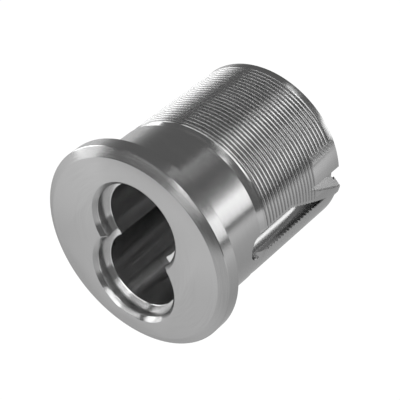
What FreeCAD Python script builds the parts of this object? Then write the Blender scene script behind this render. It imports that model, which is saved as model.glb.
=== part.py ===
import FreeCAD, Part
import math
import os

# Mortise cylinder housing for a figure-8 interchangeable core, in millimetres.
# X is right as seen from the front, +Y runs from the front face to the rear end,
# and +Z is up. The origin is the centre of the head's back shoulder.

V = FreeCAD.Vector

# Head: it stands out over the collar by the shoulder's width
shoulder_width = 2.8
head_thickness = 3.3
face_chamfer_width = 1.5
face_chamfer_depth = 0.95
shoulder_edge_break = 0.15

# Barrel behind the head: the collar is a little wider than the thread's crests
collar_step = 0.05
collar_length = 9.65
thread_major_diameter = 29.2
thread_pitch = 25.4 / 32.0
thread_depth_per_pitch = 0.6134
thread_length = 20.4
relief_length = 1.7
end_chamfer = 0.4

# Figure-8 core bore: its two lobes overlap, it sits a little below the barrel's
# axis, and the lobes' radius follows from the barrel and the wall under the bore
wall_below_bore = 2.4
lobe_overlap = 3.15
bore_drop = 0.775
cusp_radius = 0.25
seat_depth = 2.55
seat_ledge = 0.9
mouth_chamfer = 0.65
mouth_cusp_radius = 0.12

# Recess for the core's control lug, in the left side of the lower lobe,
# with its floor and roof given as heights above the plug axis
lug_recess_start = 15.0
lug_recess_length = 4.2
lug_recess_depth = 1.9
lug_recess_overlap = 3.0
lug_recess_low = 0.2
lug_recess_high = 5.1

# Set-screw slots at three and nine o'clock
slot_width = 4.4
slot_depth = 2.0
slot_start = 10.6

# Oblique web that crosses the right slot: how far its four corners lie
# ahead of the rear face, at the slot's upper and lower side
web_front_high = 13.85
web_front_low = 3.65
web_rear_high = 7.85
web_rear_low = -1.05

# Small ear on the rear face, at the lower side of the right slot
ear_length = 1.0
ear_width = 1.95
ear_thickness = 1.6
ear_overlap = 0.3

# Throw member, from its hub outwards, and the rear recess that it turns in
hub_wall = 0.6
journal_step = 0.4
journal_clearance = 0.06
journal_length = 1.75
flange_step = 1.3
flange_thickness = 1.4
flange_end_play = 0.05
flange_clearance = 0.4
recess_depth = 3.1
hub_stand_off = 1.25

# Retaining ring
ring_thickness = 0.9
ring_groove_depth = 0.5
ring_groove_play = 0.05
ring_lap = 0.6
ring_gap_half_angle = 14.0
ring_ear_width = 1.5
ring_ear_clearance = 0.4
ring_ear_hole_radius = 0.4
ring_ear_hole_edge = 0.35

# Drive pins
drive_pin_radius = 0.95
drive_pin_offset = 2.9
drive_pin_reach = 3.2
drive_pin_seat = 2.6
drive_pin_edge_break = 0.2

# Cam and its screws
cam_thickness = 2.0
cam_hub_radius = 7.6
cam_reach = 15.2
cam_lobe_width = 8.0
cam_corner_radius = 1.2
cam_centre_hole_radius = 1.9
screw_offset = 3.2
screw_shank_radius = 1.1
screw_thread_length = 2.8
screw_hole_clearance = 0.15
screw_head_radius = 2.1
screw_head_height = 1.2
screw_head_crown = 0.35
screw_slot_width = 0.6
screw_slot_depth = 0.6

# Sizes worked out from those above
thread_radius = thread_major_diameter / 2.0
collar_radius = thread_radius + collar_step
head_radius = collar_radius + shoulder_width
thread_depth = thread_depth_per_pitch * thread_pitch
relief_radius = thread_radius - thread_depth
front_y = -head_thickness
rear_y = collar_length + relief_length + thread_length
lobe_radius = (thread_radius - wall_below_bore - bore_drop + lobe_overlap / 2.0) / 2.0
lobe_spacing = lobe_radius * 2.0 - lobe_overlap
plug_axis_drop = bore_drop + lobe_spacing / 2.0
seat_radius = lobe_radius + seat_ledge
mouth_radius = seat_radius + mouth_chamfer
slot_floor_x = thread_radius - slot_depth
hub_radius = screw_offset + screw_shank_radius + hub_wall
journal_radius = hub_radius + journal_step
flange_radius = journal_radius + flange_step
recess_radius = flange_radius + flange_clearance
ring_groove_radius = recess_radius + ring_groove_depth
ring_inner_radius = flange_radius - ring_lap
ring_ear_inner_radius = hub_radius + ring_ear_clearance
recess_floor_y = rear_y - recess_depth
bore_end_y = recess_floor_y - journal_length
flange_front_y = recess_floor_y + flange_end_play
flange_rear_y = flange_front_y + flange_thickness
ring_front_y = flange_rear_y + flange_end_play
cam_front_y = rear_y + hub_stand_off
cam_rear_y = cam_front_y + cam_thickness


def rod(radius, y_start, y_end, x=0.0, z=0.0):
    """Round rod along Y."""
    return Part.makeCylinder(radius, y_end - y_start, V(x, y_start, z), V(0, 1, 0))


def block(x_low, x_high, y_low, y_high, z_low, z_high):
    """Plain block between two corners."""
    return Part.makeBox(x_high - x_low, y_high - y_low, z_high - z_low, V(x_low, y_low, z_low))


def turned(profile):
    """Solid turned about the Y axis from (radius, y) points of a closed half section."""
    points = [V(radius, y, 0) for radius, y in profile]
    wire = Part.makePolygon(points + [points[0]])
    return Part.Face(wire).revolve(V(0, 0, 0), V(0, 1, 0), 360)


def figure_eight_wire(radius, cusp, y):
    """Outline of the two lobes at one depth, with its cusps rounded."""
    half = lobe_spacing / 2.0
    cusp_x = math.sqrt((radius + cusp) ** 2 - half ** 2)
    share = radius / (radius + cusp)

    def point(x, z):
        return V(x, y, z - bore_drop)

    touch_x = cusp_x * share
    touch_z = half - half * share
    arcs = [
        (point(-touch_x, touch_z), point(0, half + radius), point(touch_x, touch_z)),
        (point(touch_x, touch_z), point(cusp_x - cusp, 0), point(touch_x, -touch_z)),
        (point(touch_x, -touch_z), point(0, -half - radius), point(-touch_x, -touch_z)),
        (point(-touch_x, -touch_z), point(cusp - cusp_x, 0), point(-touch_x, touch_z)),
    ]
    return Part.Wire([Part.Arc(*arc).toShape() for arc in arcs])


def figure_eight(radius, cusp, y_start, y_end):
    """Straight figure-8 plug between two depths."""
    face = Part.Face(figure_eight_wire(radius, cusp, y_start))
    return face.extrude(V(0, y_end - y_start, 0))


def core_bore():
    """Everything that the core fills: mouth chamfer, seat, bore and lug recess."""
    chamfer_y = front_y + mouth_chamfer
    seat_y = front_y + seat_depth
    mouth = Part.makeLoft(
        [
            figure_eight_wire(mouth_radius, mouth_cusp_radius, front_y),
            figure_eight_wire(seat_radius, cusp_radius, chamfer_y),
        ],
        True,
        True,
    )
    seat = figure_eight(seat_radius, cusp_radius, chamfer_y, seat_y)
    bore = figure_eight(lobe_radius, cusp_radius, seat_y, bore_end_y)
    lug_y = front_y + lug_recess_start
    lug_end_y = lug_y + lug_recess_length
    lug_reach = lobe_radius + lug_recess_depth
    lug_disc = rod(lug_reach, lug_y, lug_end_y, z=-plug_axis_drop)
    lug_window = block(
        -lug_reach, lug_recess_overlap - lobe_radius,
        lug_y, lug_end_y,
        lug_recess_low - plug_axis_drop, lug_recess_high - plug_axis_drop,
    )
    return [mouth, seat, bore, lug_disc.common(lug_window)]


def slot_cutter(side):
    """Round-ended set-screw slot on the right (1) or left (-1) side, open at the rear."""
    half = slot_width / 2.0
    start_y = front_y + slot_start + half
    outer_x = head_radius
    run = block(slot_floor_x, outer_x, start_y, rear_y, -half, half)
    end = Part.makeCylinder(half, outer_x - slot_floor_x, V(slot_floor_x, start_y, 0), V(1, 0, 0))
    cutter = run.fuse(end)
    if side < 0:
        cutter.rotate(V(0, 0, 0), V(0, 1, 0), 180)
    return cutter


def slot_web():
    """Oblique web left standing in the right slot, flush with the thread's crests."""
    half = slot_width / 2.0
    corners = [
        V(slot_floor_x, rear_y - web_front_high, half),
        V(slot_floor_x, rear_y - web_front_low, -half),
        V(slot_floor_x, rear_y - web_rear_low, -half),
        V(slot_floor_x, rear_y - web_rear_high, half),
    ]
    prism = Part.Face(Part.makePolygon(corners + [corners[0]])).extrude(V(slot_depth, 0, 0))
    return prism.common(rod(thread_radius, front_y, rear_y))


def rear_ear():
    """Small ear that stands out of the rear face beside the right slot."""
    top_z = ear_overlap - slot_width / 2.0
    y_start = rear_y - end_chamfer
    y_end = rear_y + ear_length
    ear = block(0, relief_radius, y_start, y_end, top_z - ear_width, top_z)
    tube = rod(relief_radius, y_start, y_end).cut(rod(relief_radius - ear_thickness, y_start, y_end))
    return ear.common(tube)


def make_housing_body():
    """Turned body with the core bore, the rear recess and the slots cut in."""
    body = turned([
        (0, front_y),
        (head_radius - face_chamfer_width, front_y),
        (head_radius, front_y + face_chamfer_depth),
        (head_radius, -shoulder_edge_break),
        (head_radius - shoulder_edge_break, 0),
        (collar_radius, 0),
        (collar_radius, collar_length),
        (relief_radius, collar_length),
        (relief_radius, collar_length + relief_length),
        (thread_radius, collar_length + relief_length + thread_depth),
        (thread_radius, rear_y - end_chamfer),
        (thread_radius - end_chamfer, rear_y),
        (0, rear_y),
    ])
    cutters = core_bore()
    cutters.append(rod(journal_radius + journal_clearance, bore_end_y, recess_floor_y, z=-plug_axis_drop))
    cutters.append(rod(recess_radius, recess_floor_y, rear_y, z=-plug_axis_drop))
    cutters.append(
        rod(
            ring_groove_radius,
            ring_front_y,
            ring_front_y + ring_thickness + ring_groove_play,
            z=-plug_axis_drop,
        )
    )
    cutters.append(slot_cutter(1))
    cutters.append(slot_cutter(-1))
    for cutter in cutters:
        body = body.cut(cutter)
    body = body.fuse(slot_web())
    body = body.fuse(rear_ear())
    return body.removeSplitter()


def make_throw_member():
    """Journal, flange and hub on the plug axis, drilled for pins and screws."""
    member = rod(journal_radius, bore_end_y, flange_front_y)
    member = member.fuse(rod(flange_radius, flange_front_y, flange_rear_y))
    member = member.fuse(rod(hub_radius, flange_rear_y, cam_front_y))
    for side in (-1, 1):
        pin_hole = rod(drive_pin_radius, bore_end_y, bore_end_y + drive_pin_seat, x=side * drive_pin_offset)
        screw_hole = rod(
            screw_shank_radius, cam_front_y - screw_thread_length, cam_front_y, z=side * screw_offset
        )
        member = member.cut(pin_hole)
        member = member.cut(screw_hole)
    member.translate(V(0, 0, -plug_axis_drop))
    return member.removeSplitter()


def make_drive_pins():
    """Two pins seated in the throw member, standing forward in the lower lobe."""
    pins = []
    for side in (-1, 1):
        pin = turned([
            (0, bore_end_y - drive_pin_reach),
            (drive_pin_radius - drive_pin_edge_break, bore_end_y - drive_pin_reach),
            (drive_pin_radius, bore_end_y - drive_pin_reach + drive_pin_edge_break),
            (drive_pin_radius, bore_end_y + drive_pin_seat),
            (0, bore_end_y + drive_pin_seat),
        ])
        pin.translate(V(side * drive_pin_offset, 0, -plug_axis_drop))
        pins.append(pin)
    return Part.makeCompound(pins)


def ring_ear(side, y_end):
    """One pierced ear of the retaining ring, turned to its place beside the gap."""
    half_width_angle = math.degrees(math.asin(ring_ear_width / 2.0 / ring_inner_radius))
    hole_z = ring_ear_inner_radius + ring_ear_hole_radius + ring_ear_hole_edge
    ear = block(
        -ring_ear_width / 2.0, ring_ear_width / 2.0,
        ring_front_y, y_end,
        ring_ear_inner_radius, (ring_inner_radius + ring_groove_radius) / 2.0,
    )
    hole = rod(ring_ear_hole_radius, ring_front_y, y_end, z=hole_z)
    for shape in (ear, hole):
        shape.rotate(V(0, 0, 0), V(0, 1, 0), side * (ring_gap_half_angle + half_width_angle))
    return ear, hole


def make_retaining_ring():
    """Internal snap ring with two pierced ears beside its gap."""
    y_end = ring_front_y + ring_thickness
    spread = ring_groove_radius * math.tan(math.radians(ring_gap_half_angle))
    ring = rod(ring_groove_radius, ring_front_y, y_end)
    ring = ring.cut(rod(ring_inner_radius, ring_front_y, y_end))
    corners = [
        V(0, ring_front_y, 0),
        V(-spread, ring_front_y, ring_groove_radius),
        V(spread, ring_front_y, ring_groove_radius),
    ]
    gap = Part.Face(Part.makePolygon(corners + [corners[0]])).extrude(V(0, ring_thickness, 0))
    ring = ring.cut(gap)
    for side in (-1, 1):
        ear, hole = ring_ear(side, y_end)
        ring = ring.fuse(ear).cut(hole)
    ring.translate(V(0, 0, -plug_axis_drop))
    return ring.removeSplitter()


def make_cam():
    """Flat cam plate: a round hub with one straight-sided lobe that points up."""
    half = cam_lobe_width / 2.0
    plate = rod(cam_hub_radius, cam_front_y, cam_rear_y)
    lobe = block(-half, half, cam_front_y, cam_rear_y, 0, cam_reach)
    corners = [
        edge for edge in lobe.Edges
        if edge.BoundBox.ZMin > cam_reach / 2.0 and edge.BoundBox.YLength > cam_thickness / 2.0
    ]
    lobe = lobe.makeFillet(cam_corner_radius, corners)
    lobe = lobe.common(rod(cam_reach, cam_front_y, cam_rear_y))
    plate = plate.fuse(lobe).removeSplitter()
    plate = plate.cut(rod(cam_centre_hole_radius, cam_front_y, cam_rear_y))
    for side in (-1, 1):
        hole = rod(screw_shank_radius + screw_hole_clearance, cam_front_y, cam_rear_y, z=side * screw_offset)
        plate = plate.cut(hole)
    plate.translate(V(0, 0, -plug_axis_drop))
    return plate.removeSplitter()


def make_cam_screws():
    """Two slotted screws with low crowned heads."""
    screws = []
    for side in (-1, 1):
        head_top = cam_rear_y + screw_head_height
        screw = turned([
            (0, cam_front_y - screw_thread_length),
            (screw_shank_radius, cam_front_y - screw_thread_length),
            (screw_shank_radius, cam_rear_y),
            (screw_head_radius, cam_rear_y),
            (screw_head_radius, head_top - screw_head_crown),
            (screw_head_radius - screw_head_crown, head_top),
            (0, head_top),
        ])
        slot = block(
            -screw_head_radius, screw_head_radius,
            head_top - screw_slot_depth, head_top,
            -screw_slot_width / 2.0, screw_slot_width / 2.0,
        )
        screw = screw.cut(slot)
        screw.translate(V(0, 0, side * screw_offset - plug_axis_drop))
        screws.append(screw)
    return Part.makeCompound(screws)


SUB_PARTS = {
    "housing_body": make_housing_body,
    "throw_member": make_throw_member,
    "drive_pins": make_drive_pins,
    "retaining_ring": make_retaining_ring,
    "cam": make_cam,
    "cam_screws": make_cam_screws,
}


def main():
    os.makedirs("parts", exist_ok=True)
    for name, make in SUB_PARTS.items():
        shape = make()
        shape.exportStep(f"parts/{name}.step")
        print(name, len(shape.Solids), round(shape.Volume, 2), shape.isValid())


main()
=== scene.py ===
import math

import bmesh
import bpy
from mathutils import Matrix, Vector


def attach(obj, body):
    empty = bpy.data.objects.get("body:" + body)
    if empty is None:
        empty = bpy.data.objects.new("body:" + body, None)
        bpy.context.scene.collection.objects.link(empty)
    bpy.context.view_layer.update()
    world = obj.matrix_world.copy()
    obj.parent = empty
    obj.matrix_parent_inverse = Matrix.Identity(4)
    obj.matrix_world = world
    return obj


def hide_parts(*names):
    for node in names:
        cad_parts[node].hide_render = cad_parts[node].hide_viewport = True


# Looks of a mortise cylinder housing. All sizes are in millimetres and are turned to
# metres when a piece is finished. Y runs along the barrel, and Z is up.

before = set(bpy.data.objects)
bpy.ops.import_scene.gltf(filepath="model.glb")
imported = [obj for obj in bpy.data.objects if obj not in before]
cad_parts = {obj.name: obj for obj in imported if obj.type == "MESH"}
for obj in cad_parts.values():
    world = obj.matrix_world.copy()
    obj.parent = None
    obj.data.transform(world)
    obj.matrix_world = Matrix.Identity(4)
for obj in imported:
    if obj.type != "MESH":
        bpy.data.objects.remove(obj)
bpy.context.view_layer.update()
MM = 0.001
TURN = 2.0 * math.pi

# Housing sizes that the solid has too
FRONT_Y = -3.3
REAR_Y = 31.75
HEAD_R = 17.45
COLLAR_R = 14.65
CREST_R = 14.6
PITCH = 25.4 / 32.0
THREAD_DEPTH = 0.6134 * PITCH
ROOT_R = CREST_R - THREAD_DEPTH
COLLAR_END_Y = 9.65
THREAD_START_Y = 11.35
THREAD_END_Y = 30.0
LOBE_R = 6.5
SEAT_R = 7.4
MOUTH_R = 8.05
CUSP_R = 0.25
PLUG_Z = -5.7
WAIST_Z = -0.775
LOBE_HALF_GAP = 4.925
BORE_END_Y = 26.9
SEAT_Y = -0.75
RECESS_FLOOR_Y = 28.65
BEARING_R = 5.36
RECESS_R = 7.0
RING_GROOVE_R = 7.5
SLOT_HALF = 2.2
SLOT_START_Y = 7.3

# How far the web's corners lie ahead of the rear face, or behind it for the last one
WEB_FRONT_HIGH = 13.85
WEB_FRONT_LOW = 3.65
WEB_REAR_HIGH = 7.85
WEB_REAR_LOW_PAST = 1.05

# Finer form that only the visible housing has
GROOVE_DEPTH = 0.38
GROOVE_HALF_ANGLE = math.radians(27.0)
THREAD_TURN = math.radians(150.0)
UNDERCUT_R = 13.763
SLOT_FLOOR_X = 12.0
END_CHAMFER = 0.4
BARREL_STEPS = 240
CUSP_STEPS = 10
SHARP_ANGLE = 28.0


def new_object(name, verts, faces):
    """Mesh object from points in millimetres."""
    mesh = bpy.data.meshes.new(name)
    mesh.from_pydata([Vector(v) for v in verts], [], faces)
    mesh.validate()
    mesh.update()
    obj = bpy.data.objects.new(name, mesh)
    bpy.context.scene.collection.objects.link(obj)
    return obj


def ring_stack(name, rings):
    """Closed solid from rings of equally many points, capped at both ends."""
    count = len(rings[0])
    verts = [p for ring in rings for p in ring]
    faces = []
    for level in range(len(rings) - 1):
        low, high = level * count, (level + 1) * count
        for i in range(count):
            j = (i + 1) % count
            faces.append((low + i, low + j, high + j, high + i))
    faces.append(tuple(reversed(range(count))))
    top = (len(rings) - 1) * count
    faces.append(tuple(range(top, top + count)))
    obj = new_object(name, verts, faces)
    face_outwards(obj)
    return obj


def face_outwards(obj):
    """Turns every face of a closed mesh outwards."""
    bm = bmesh.new()
    bm.from_mesh(obj.data)
    bmesh.ops.recalc_face_normals(bm, faces=bm.faces)
    bm.to_mesh(obj.data)
    bm.free()


def circle(radius, y, steps, x=0.0, z=0.0):
    """Points round the Y axis, from +Z towards +X."""
    return [
        (x + radius * math.sin(TURN * i / steps), y, z + radius * math.cos(TURN * i / steps))
        for i in range(steps)
    ]


def lathe(name, profile, steps, x=0.0, z=0.0):
    """Turned solid from (radius, y) points."""
    return ring_stack(name, [circle(r, y, steps, x, z) for r, y in profile])


def figure_eight(radius, cusp, y, steps=72):
    """Outline of the core bore at one depth: two lobes and two rounded cusps."""
    half = LOBE_HALF_GAP
    cusp_x = math.sqrt((radius + cusp) ** 2 - half ** 2)
    lobe_turn = math.pi - math.atan2(cusp_x, half)
    cusp_turn = math.atan2(half, cusp_x)
    points = []
    for i in range(steps + 1):
        a = -lobe_turn + 2.0 * lobe_turn * i / steps
        points.append((radius * math.sin(a), y, WAIST_Z + half + radius * math.cos(a)))
    for i in range(1, CUSP_STEPS):
        a = cusp_turn - 2.0 * cusp_turn * i / CUSP_STEPS
        points.append((cusp_x - cusp * math.cos(a), y, WAIST_Z + cusp * math.sin(a)))
    for i in range(steps + 1):
        a = math.pi - lobe_turn + 2.0 * lobe_turn * i / steps
        points.append((radius * math.sin(a), y, WAIST_Z - half + radius * math.cos(a)))
    for i in range(1, CUSP_STEPS):
        a = -cusp_turn + 2.0 * cusp_turn * i / CUSP_STEPS
        points.append((cusp * math.cos(a) - cusp_x, y, WAIST_Z + cusp * math.sin(a)))
    return points


def boolean(obj, cutter, operation="DIFFERENCE"):
    """Applies one solid to another and removes the cutter."""
    modifier = obj.modifiers.new("cut", "BOOLEAN")
    modifier.operation = operation
    modifier.solver = "MANIFOLD"
    modifier.object = cutter
    graph = bpy.context.evaluated_depsgraph_get()
    mesh = bpy.data.meshes.new_from_object(obj.evaluated_get(graph))
    obj.modifiers.remove(modifier)
    old = obj.data
    obj.data = mesh
    bpy.data.meshes.remove(old)
    bpy.data.objects.remove(cutter)


def smooth_share(value, low, high):
    """Rises evenly from 0 at low to 1 at high."""
    share = min(1.0, max(0.0, (value - low) / (high - low)))
    return share * share * (3.0 - 2.0 * share)


def groove_depth(a, y):
    """Depth of the thread's groove: it runs out at the rear and on the pad beside the web."""
    turn = math.degrees(a) % 360.0
    depth = 1.0 - smooth_share(y, THREAD_END_Y + 0.1, THREAD_END_Y + 0.5)
    pad = smooth_share(turn, 60.0, 67.0) * (1.0 - smooth_share(turn, 116.0, 124.0))
    pad *= smooth_share(y, 24.4, 25.2)
    return depth * (1.0 - pad)


def groove_cutter():
    """Helical groove of the thread, with its crests and its root rounded a little."""
    slope = math.tan(GROOVE_HALF_ANGLE)
    flank = 0.06 + (GROOVE_DEPTH - 0.12) * slope
    half_section = [
        (GROOVE_DEPTH, 0.03), (GROOVE_DEPTH - 0.03, 0.08), (0.07, flank + 0.005),
        (0.02, flank + 0.045), (0.0, flank + 0.085), (-0.25, flank + 0.085),
    ]
    start_y = THREAD_START_Y - 0.2
    count = int(round((THREAD_END_Y + 0.5 - start_y) / PITCH * BARREL_STEPS))
    rings = []
    for i in range(count + 1):
        a = TURN * i / BARREL_STEPS + THREAD_TURN
        y = start_y + PITCH * i / BARREL_STEPS
        lift = GROOVE_DEPTH * (1.0 - groove_depth(a, y)) * 1.04
        low = [(CREST_R - depth + lift, half) for depth, half in half_section]
        section = [(r, -half) for r, half in reversed(low)] + low
        rings.append([(r * math.sin(a), y + dy, r * math.cos(a)) for r, dy in section])
    return ring_stack("groove", rings)


def housing_blank():
    """Turned outside of the housing, as (radius, y) points, with its edges broken."""
    return lathe("housing_shell", [
        (15.90, FRONT_Y),
        (15.98, -3.27),
        (17.38, -2.42),
        (HEAD_R, -2.30),
        (HEAD_R, -0.15),
        (17.30, 0.0),
        (COLLAR_R + 0.12, 0.0),
        (COLLAR_R, 0.10),
        (COLLAR_R, COLLAR_END_Y - 0.10),
        (COLLAR_R - 0.10, COLLAR_END_Y),
        (UNDERCUT_R, COLLAR_END_Y),
        (UNDERCUT_R, COLLAR_END_Y + 0.52),
        (ROOT_R, COLLAR_END_Y + 1.12),
        (ROOT_R + 0.17, THREAD_START_Y),
        (CREST_R, THREAD_START_Y + 0.32),
        (CREST_R, REAR_Y - END_CHAMFER),
        (CREST_R - END_CHAMFER, REAR_Y),
    ], BARREL_STEPS)


def core_bore_cutter():
    """Mouth chamfer, seat and bore of the core, as one stepped plug."""
    return ring_stack("core_bore", [
        figure_eight(8.25, 0.08, FRONT_Y - 0.15),
        figure_eight(MOUTH_R, 0.12, FRONT_Y + 0.02),
        figure_eight(7.44, CUSP_R, -2.69),
        figure_eight(SEAT_R, CUSP_R, -2.60),
        figure_eight(SEAT_R, CUSP_R, SEAT_Y),
        figure_eight(6.58, CUSP_R, SEAT_Y),
        figure_eight(LOBE_R, CUSP_R, SEAT_Y + 0.08),
        figure_eight(LOBE_R, CUSP_R, BORE_END_Y),
    ])


def rear_cutters():
    """Bearing hole, rear recess and ring groove on the plug axis."""
    return [
        lathe("bearing", [
            (BEARING_R, 26.0), (BEARING_R, 28.55), (5.46, RECESS_FLOOR_Y), (5.46, 29.0),
        ], 120, z=PLUG_Z),
        lathe("recess", [
            (RECESS_R, RECESS_FLOOR_Y), (RECESS_R, 30.15), (RING_GROOVE_R, 30.15),
            (RING_GROOVE_R, 31.1), (RECESS_R, 31.1), (RECESS_R, 31.55), (7.25, 31.80), (7.25, 32.2),
        ], 144, z=PLUG_Z),
    ]


def extruded(name, outline, low, high):
    """Straight solid along Y between two levels, from (x, z) points."""
    return ring_stack(name, [[(x, y, z) for x, z in outline] for y in (low, high)])


def slot_section(half, side):
    """Outline, as (x, z) points, of a round-bottomed slot that flares at its edges."""
    centre_x = SLOT_FLOOR_X + SLOT_HALF
    points = [(16.6, half + 0.22), (14.66, half + 0.22), (14.30, half)]
    for i in range(33):
        a = math.pi * i / 32
        points.append((centre_x - half * math.sin(a), half * math.cos(a)))
    points += [(14.30, -half), (14.66, -half - 0.22), (16.6, -half - 0.22)]
    return [(side * x, z) for x, z in points]


def slot_cutter(name, side, end_y):
    """Round-nosed slot along one side; end_y gives where it ends at each height."""
    rings = []
    for i in range(1, 31):
        a = 0.5 * math.pi * i / 30
        y = SLOT_START_Y + SLOT_HALF * (1.0 - math.cos(a))
        rings.append([(x, y, z) for x, z in slot_section(SLOT_HALF * math.sin(a), side)])
    rings.append([(x, end_y(z), z) for x, z in slot_section(SLOT_HALF, side)])
    return ring_stack(name, rings)


def web_front(z):
    """Where the right slot ends, at the web's oblique front."""
    run = WEB_FRONT_HIGH - WEB_FRONT_LOW
    return REAR_Y - WEB_FRONT_HIGH + (SLOT_HALF - z) * run / (2.0 * SLOT_HALF)


def notch_outline(x, spread, top_z):
    """Three-cornered outline of the notch behind the web at one level."""
    run = WEB_REAR_HIGH + WEB_REAR_LOW_PAST
    edge = math.hypot(run, 2.0 * SLOT_HALF)
    y_part, z_part = 2.0 * SLOT_HALF / edge, run / edge
    y_start = REAR_Y - WEB_REAR_HIGH
    y_top = y_start + (SLOT_HALF - top_z) * run / (2.0 * SLOT_HALF) - spread / y_part
    y_end = REAR_Y + 1.5
    low_z = SLOT_HALF - (spread + (y_end - y_start) * y_part) / z_part
    points = []
    for i in range(17):
        share = i / 16.0
        points.append((x, y_top + (y_end - y_top) * share, top_z + (low_z - top_z) * share))
    for i in range(1, 8):
        points.append((x, y_end, low_z + (top_z - low_z) * i / 8.0))
    for i in range(8):
        points.append((x, y_end + (y_top - y_end) * i / 8.0, top_z))
    return points


def notch_cutter():
    """Notch behind the web, with leaning walls and a rounded edge.

    Each level is its x, how far its edge lies over the web, and its upper side's z.
    """
    levels = [
        (12.95, -0.92, 1.50), (13.15, -0.74, 1.72), (13.50, -0.46, 1.96), (13.85, -0.18, 2.12),
        (14.06, 0.00, 2.19), (14.25, 0.13, 2.25), (14.42, 0.29, 2.31), (14.55, 0.47, 2.37),
        (14.66, 0.68, 2.44), (16.60, 0.70, 2.50),
    ]
    return ring_stack("notch", [notch_outline(x, spread, top) for x, spread, top in levels])


def slot_cutters():
    """Set-screw slots; an oblique web and a shallow notch end the right one."""
    return [
        slot_cutter("slot_right", 1.0, web_front),
        slot_cutter("slot_left", -1.0, lambda z: REAR_Y + 2.0),
        notch_cutter(),
    ]


def lug_recess_cutter():
    """Recess for the core's control lug, on the left of the lower lobe."""
    z_low, z_high, x_in, reach = -5.5, -0.6, -3.5, 8.4
    outline = [(x_in, z_low)]
    for i in range(17):
        z = z_low + (z_high - z_low) * i / 16
        outline.append((-math.sqrt(reach ** 2 - (z - PLUG_Z) ** 2), z))
    outline.append((x_in, z_high))
    return extruded("lug", outline, 11.7, 15.9)


def rear_ear():
    """Small ear behind the rear face, at the lower side of the right slot."""
    top, low, thick = -1.2, -3.75, 1.6
    outline = []
    for i in range(9):
        z = top + (low - top) * i / 8
        outline.append((math.sqrt((CREST_R - 0.02) ** 2 - z ** 2), z))
    for i in range(9):
        z = low + (top - low) * i / 8
        outline.append((math.sqrt((CREST_R - thick) ** 2 - z ** 2), z))
    return extruded("ear", outline, REAR_Y - 0.6, REAR_Y + 0.75)


def finish_mesh(obj, sharp_angle):
    """To metres, with smooth shading between its sharp edges."""
    obj.data.transform(Matrix.Scale(MM, 4))
    obj.data.shade_smooth()
    obj.data.set_sharp_from_angle(angle=math.radians(sharp_angle))
    obj.data.update()


def make_housing():
    body = housing_blank()
    boolean(body, groove_cutter())
    boolean(body, core_bore_cutter())
    boolean(body, rear_ear(), "UNION")
    for cutter in rear_cutters() + slot_cutters() + [lug_recess_cutter()]:
        boolean(body, cutter)
    finish_mesh(body, SHARP_ANGLE)
    return body


# Materials
GRAIN_PER_METRE = 9000.0
BUMP_HEIGHT = 0.02 * MM
INNER_R = 7.48
INNER_FRONT_Y = -2.68
MILLED_X = 11.9
MILLED_R = 14.57
MILLED_END_Y = 31.7


def node_material(name):
    """New material with its node tree and its shader."""
    material = bpy.data.materials.new(name)
    material.use_nodes = True
    tree = material.node_tree
    shader = tree.nodes["Principled BSDF"]
    return material, tree, shader


def ramp(tree, value, low, high, out_low, out_high):
    """Maps a value from one range to another, smoothly and with both ends held."""
    node = tree.nodes.new("ShaderNodeMapRange")
    node.interpolation_type = "SMOOTHSTEP"
    limits = {"From Min": low, "From Max": high, "To Min": out_low, "To Max": out_high}
    for name, number in limits.items():
        node.inputs[name].default_value = number
    tree.links.new(value, node.inputs["Value"])
    return node.outputs[0]


def combine(tree, operation, first, second):
    """One Math node of two values, either of which may be a plain number."""
    node = tree.nodes.new("ShaderNodeMath")
    node.operation = operation
    for i, value in enumerate((first, second)):
        if isinstance(value, (int, float)):
            node.inputs[i].default_value = value
        else:
            tree.links.new(value, node.inputs[i])
    return node.outputs[0]


def squared(tree, value):
    """A value times itself."""
    return combine(tree, "MULTIPLY", value, value)


def joined(tree, x, y, z):
    """One vector of three values, any of which may be a plain number."""
    node = tree.nodes.new("ShaderNodeCombineXYZ")
    for i, value in enumerate((x, y, z)):
        if isinstance(value, (int, float)):
            node.inputs[i].default_value = value
        else:
            tree.links.new(value, node.inputs[i])
    return node.outputs[0]


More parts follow.
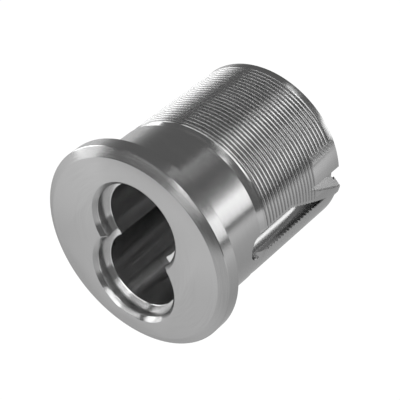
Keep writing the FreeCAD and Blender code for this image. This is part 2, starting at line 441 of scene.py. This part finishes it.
def satin_metal(name, color, roughness, anisotropic, bump, bore_painted_light_color=None):
    """Turned metal, with fine rings round each surface's axis in its tone and bump.

    With a bore colour, the inside of the core bore takes that lighter colour, a painted brightening of
    the bore's shade; the rings inside it follow the nearest lobe's axis, and the milled slots have no
    rings.
    """
    material, tree, shader = node_material(name)
    nodes, links = tree.nodes, tree.links
    shader.inputs["Metallic"].default_value = 1.0
    shader.inputs["Anisotropic"].default_value = anisotropic
    shader.inputs["Anisotropic Rotation"].default_value = 0.25
    shader.inputs["Specular Tint"].default_value = (0.55, 0.55, 0.55, 1.0)
    coords = nodes.new("ShaderNodeTexCoord")
    split = nodes.new("ShaderNodeSeparateXYZ")
    links.new(coords.outputs["Object"], split.inputs[0])
    x, y, z = split.outputs["X"], split.outputs["Y"], split.outputs["Z"]
    if bore_painted_light_color:
        upper = combine(tree, "GREATER_THAN", z, WAIST_Z * MM)
        lift = combine(tree, "MULTIPLY", upper, 2.0 * LOBE_HALF_GAP * MM)
        lobe_z = combine(tree, "ADD", lift, PLUG_Z * MM)
        from_lobe = combine(tree, "SUBTRACT", z, lobe_z)
        spread = combine(tree, "ADD", squared(tree, x), squared(tree, from_lobe))
        inside = combine(tree, "LESS_THAN", spread, (INNER_R * MM) ** 2)
        deep = combine(tree, "GREATER_THAN", y, INNER_FRONT_Y * MM)
        inside = combine(tree, "MULTIPLY", inside, deep)
        z = combine(tree, "SUBTRACT", z, combine(tree, "MULTIPLY", inside, lobe_z))
    around = combine(tree, "ARCTAN2", x, z)
    out = combine(tree, "SQRT", combine(tree, "ADD", squared(tree, x), squared(tree, z)), 0.0)
    rings = nodes.new("ShaderNodeTexNoise")
    rings.inputs["Scale"].default_value = 1.0
    rings.inputs["Detail"].default_value = 3.0
    fine = [combine(tree, "MULTIPLY", value, GRAIN_PER_METRE) for value in (out, y)]
    turns = combine(tree, "MULTIPLY", around, 3.0)
    links.new(joined(tree, fine[0], fine[1], turns), rings.inputs["Vector"])
    grain = rings.outputs["Fac"]
    if bore_painted_light_color:
        milled = combine(tree, "GREATER_THAN", combine(tree, "ABSOLUTE", x, 0.0), MILLED_X * MM)
        below_crest = combine(tree, "LESS_THAN", out, MILLED_R * MM)
        before_end = combine(tree, "LESS_THAN", y, MILLED_END_Y * MM)
        milled = combine(tree, "MULTIPLY", milled, below_crest)
        milled = combine(tree, "MULTIPLY", milled, before_end)
        swing = combine(tree, "SUBTRACT", grain, 0.5)
        swing = combine(tree, "MULTIPLY", swing, combine(tree, "SUBTRACT", 1.0, milled))
        grain = combine(tree, "ADD", swing, 0.5)
    links.new(ramp(tree, grain, 0.2, 0.8, roughness * 0.8, roughness * 1.2), shader.inputs["Roughness"])
    tone = nodes.new("ShaderNodeMix")
    tone.data_type = "RGBA"
    links.new(ramp(tree, grain, 0.3, 0.7, 0.0, 1.0), tone.inputs["Factor"])
    tone.inputs[6].default_value = [c * 0.94 for c in color] + [1.0]
    tone.inputs[7].default_value = list(color) + [1.0]
    shade = tone.outputs[2]
    # Painted light: inside the core bore the metal takes the lighter bore colour, which brightens its
    # shade.
    if bore_painted_light_color:
        bore = nodes.new("ShaderNodeMix")
        bore.data_type = "RGBA"
        links.new(inside, bore.inputs["Factor"])
        links.new(shade, bore.inputs[6])
        bore.inputs[7].default_value = list(bore_painted_light_color) + [1.0]
        shade = bore.outputs[2]
    links.new(shade, shader.inputs["Base Color"])
    bumps = nodes.new("ShaderNodeBump")
    bumps.inputs["Strength"].default_value = bump
    bumps.inputs["Distance"].default_value = BUMP_HEIGHT
    links.new(grain, bumps.inputs["Height"])
    links.new(bumps.outputs["Normal"], shader.inputs["Normal"])
    if anisotropic:
        turned = nodes.new("ShaderNodeVectorTransform")
        turned.vector_type = "VECTOR"
        turned.convert_from = "OBJECT"
        turned.convert_to = "WORLD"
        links.new(joined(tree, z, 0.0, combine(tree, "MULTIPLY", x, -1.0)), turned.inputs[0])
        unit = nodes.new("ShaderNodeVectorMath")
        unit.operation = "NORMALIZE"
        links.new(turned.outputs[0], unit.inputs[0])
        links.new(unit.outputs[0], shader.inputs["Tangent"])
    return material


housing = make_housing()
housing.data.materials.clear()
# The bore colour paints the inside of the core bore lighter, as painted light.
housing.data.materials.append(satin_metal(
    "satin_chrome", (0.46, 0.46, 0.46), 0.22, 0.92, 0.25, bore_painted_light_color=(0.72, 0.72, 0.72),
))
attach(housing, "housing")
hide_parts("housing_body")

FINISHES = {
    "throw_member": ("turned_steel", (0.50, 0.50, 0.50), 0.35),
    "drive_pins": ("ground_steel", (0.55, 0.55, 0.55), 0.28),
    "retaining_ring": ("spring_steel", (0.16, 0.16, 0.17), 0.45),
    "cam": ("zinc_plate", (0.58, 0.58, 0.57), 0.38),
    "cam_screws": ("zinc_screw", (0.55, 0.55, 0.53), 0.34),
}
for node, (name, color, roughness) in FINISHES.items():
    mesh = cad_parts[node].data
    mesh.materials.clear()
    mesh.materials.append(satin_metal(name, color, roughness, 0.0, 0.3))


# Camera, lamps and surroundings
LAMP_DISTANCE = 0.6
LAMP_AIM = Vector((0.0, 0.014, 0.0))


def make_camera():
    """Camera that sees the part as the photograph does."""
    data = bpy.data.cameras.new("camera")
    data.lens = 146.857
    data.sensor_width = 36.0
    camera = bpy.data.objects.new("camera", data)
    bpy.context.scene.collection.objects.link(camera)
    right = Vector((0.79907, 0.60047, 0.03035))
    up = Vector((-0.39626, 0.48801, 0.77770))
    back = right.cross(up).normalized()
    turned = Matrix((right, up, back)).transposed().to_4x4()
    camera.matrix_world = Matrix.Translation(Vector((116.989, -150.237, 161.567)) * MM) @ turned
    data.clip_start = 0.01
    data.clip_end = 10.0
    bpy.context.scene.camera = camera


def soft_light(name, around, up, width, height, radiance):
    """Area lamp that faces the object, placed by its angles from the front."""
    data = bpy.data.lights.new(name, "AREA")
    data.shape = "RECTANGLE"
    data.size = width
    data.size_y = height
    data.energy = radiance * math.pi * width * height
    lamp = bpy.data.objects.new(name, data)
    bpy.context.scene.collection.objects.link(lamp)
    around, up = math.radians(around), math.radians(up)
    way = Vector((math.sin(around) * math.cos(up), -math.cos(around) * math.cos(up), math.sin(up)))
    place = LAMP_AIM + way * LAMP_DISTANCE
    lamp.location = place
    lamp.rotation_euler = (LAMP_AIM - place).to_track_quat("-Z", "Y").to_euler()


def show_white(tree, surface, share, strength):
    """Shows a surface as white to the camera, in metal and in glass, and leaves its light."""
    nodes, links = tree.nodes, tree.links
    path = nodes.new("ShaderNodeLightPath")
    rays = combine(tree, "MAXIMUM", path.outputs["Is Camera Ray"], path.outputs["Is Glossy Ray"])
    rays = combine(tree, "MAXIMUM", rays, path.outputs["Is Transmission Ray"])
    part = combine(tree, "MULTIPLY", rays, share)
    white = nodes.new("ShaderNodeEmission")
    links.new(strength, white.inputs["Strength"])
    mix = nodes.new("ShaderNodeMixShader")
    links.new(part, mix.inputs["Fac"])
    links.new(surface, mix.inputs[1])
    links.new(white.outputs[0], mix.inputs[2])
    return mix.outputs[0]


def make_floor():
    """Pale floor well below the part, white to the camera and in reflections.

    Its light is painted: it is darker to the right, behind and far in front, and a faint painted shadow
    of the part lies just before it.
    """
    floor = new_object("floor", [(-2, -2, 0), (2, -2, 0), (2, 2, 0), (-2, 2, 0)], [(0, 1, 2, 3)])
    floor.location.z = -0.10
    material, tree, shader = node_material("floor_paper")
    shader.inputs["Base Color"].default_value = (0.85, 0.85, 0.85, 1.0)
    shader.inputs["Roughness"].default_value = 0.9
    shader.inputs["Specular IOR Level"].default_value = 0.0
    place = tree.nodes.new("ShaderNodeSeparateXYZ")
    coords = tree.nodes.new("ShaderNodeTexCoord")
    tree.links.new(coords.outputs["Object"], place.inputs[0])
    x, y = place.outputs["X"], place.outputs["Y"]
    # Painted shade: the floor's white dims to the right, behind and far in front.
    near_right = ramp(tree, x, 0.0, 0.08, 0.0, 1.0)
    far_right = ramp(tree, x, 0.10, 0.60, 0.36, 0.0)
    right = combine(tree, "SUBTRACT", 1.0, combine(tree, "MULTIPLY", near_right, far_right))
    behind = combine(tree, "MAXIMUM", y, 0.3)
    aside = combine(tree, "DIVIDE", combine(tree, "ABSOLUTE", x, 0.0), behind)
    wedge = ramp(tree, aside, 0.25, 0.80, 0.65, 0.0)
    dark = combine(tree, "MULTIPLY", wedge, ramp(tree, y, 0.25, 0.50, 0.0, 1.0))
    strength = combine(tree, "MULTIPLY", right, combine(tree, "SUBTRACT", 1.0, dark))
    strength = combine(tree, "MULTIPLY", strength, ramp(tree, y, -0.50, -0.38, 0.12, 1.0))
    # Painted shadow of the part: the floor is a little darker just before it.
    away = combine(tree, "ADD", squared(tree, x), squared(tree, y))
    near = ramp(tree, away, 0.006, 0.026, 0.16, 0.0)
    shade = combine(tree, "MULTIPLY", near, ramp(tree, y, -0.02, 0.02, 1.0, 0.0))
    strength = combine(tree, "MULTIPLY", strength, combine(tree, "SUBTRACT", 1.05, shade))
    surface = show_white(tree, shader.outputs[0], 0.96, strength)
    tree.links.new(surface, tree.nodes["Material Output"].inputs["Surface"])
    floor.data.materials.append(material)


def make_world():
    """Dim surroundings, with a glow low on the left and behind."""
    world = bpy.data.worlds.new("studio")
    bpy.context.scene.world = world
    world.use_nodes = True
    tree = world.node_tree
    background = tree.nodes["Background"]
    background.inputs["Color"].default_value = (1.0, 1.0, 1.0, 1.0)
    coords = tree.nodes.new("ShaderNodeTexCoord")
    way = tree.nodes.new("ShaderNodeSeparateXYZ")
    tree.links.new(coords.outputs["Generated"], way.inputs[0])
    low = ramp(tree, way.outputs["Z"], 0.0, 0.30, 1.0, 0.0)
    left = ramp(tree, way.outputs["X"], -0.6, 0.0, 1.0, 0.0)
    back = ramp(tree, way.outputs["Y"], -0.2, 0.3, 0.0, 0.5)
    glow = combine(tree, "MULTIPLY", combine(tree, "MULTIPLY", low, left), back)
    tree.links.new(combine(tree, "ADD", glow, 0.19), background.inputs["Strength"])


make_camera()
make_world()
make_floor()
for lamp_values in (
    ("right_box", 143.5, 15.0, 0.47, 0.235, 2.35),
    ("left_box", -64.0, -3.5, 0.30, 0.10, 1.6),
    ("left_low", -98.0, 5.0, 0.34, 0.28, 3.8),
    ("left_high", -72.0, 15.0, 0.40, 0.22, 2.5),
    ("front_high", -20.0, 38.0, 0.56, 0.12, 2.5),
    ("front_right", 20.0, 29.0, 0.42, 0.24, 2.7),
    ("front_card", 6.0, 10.0, 0.17, 0.19, 0.55),
    ("top_card", 38.0, 60.0, 0.22, 0.16, 2.4),
    ("top_back", 150.0, 72.0, 0.22, 0.12, 2.4),
):
    soft_light(*lamp_values)

bpy.context.scene.view_settings.view_transform = "Standard"
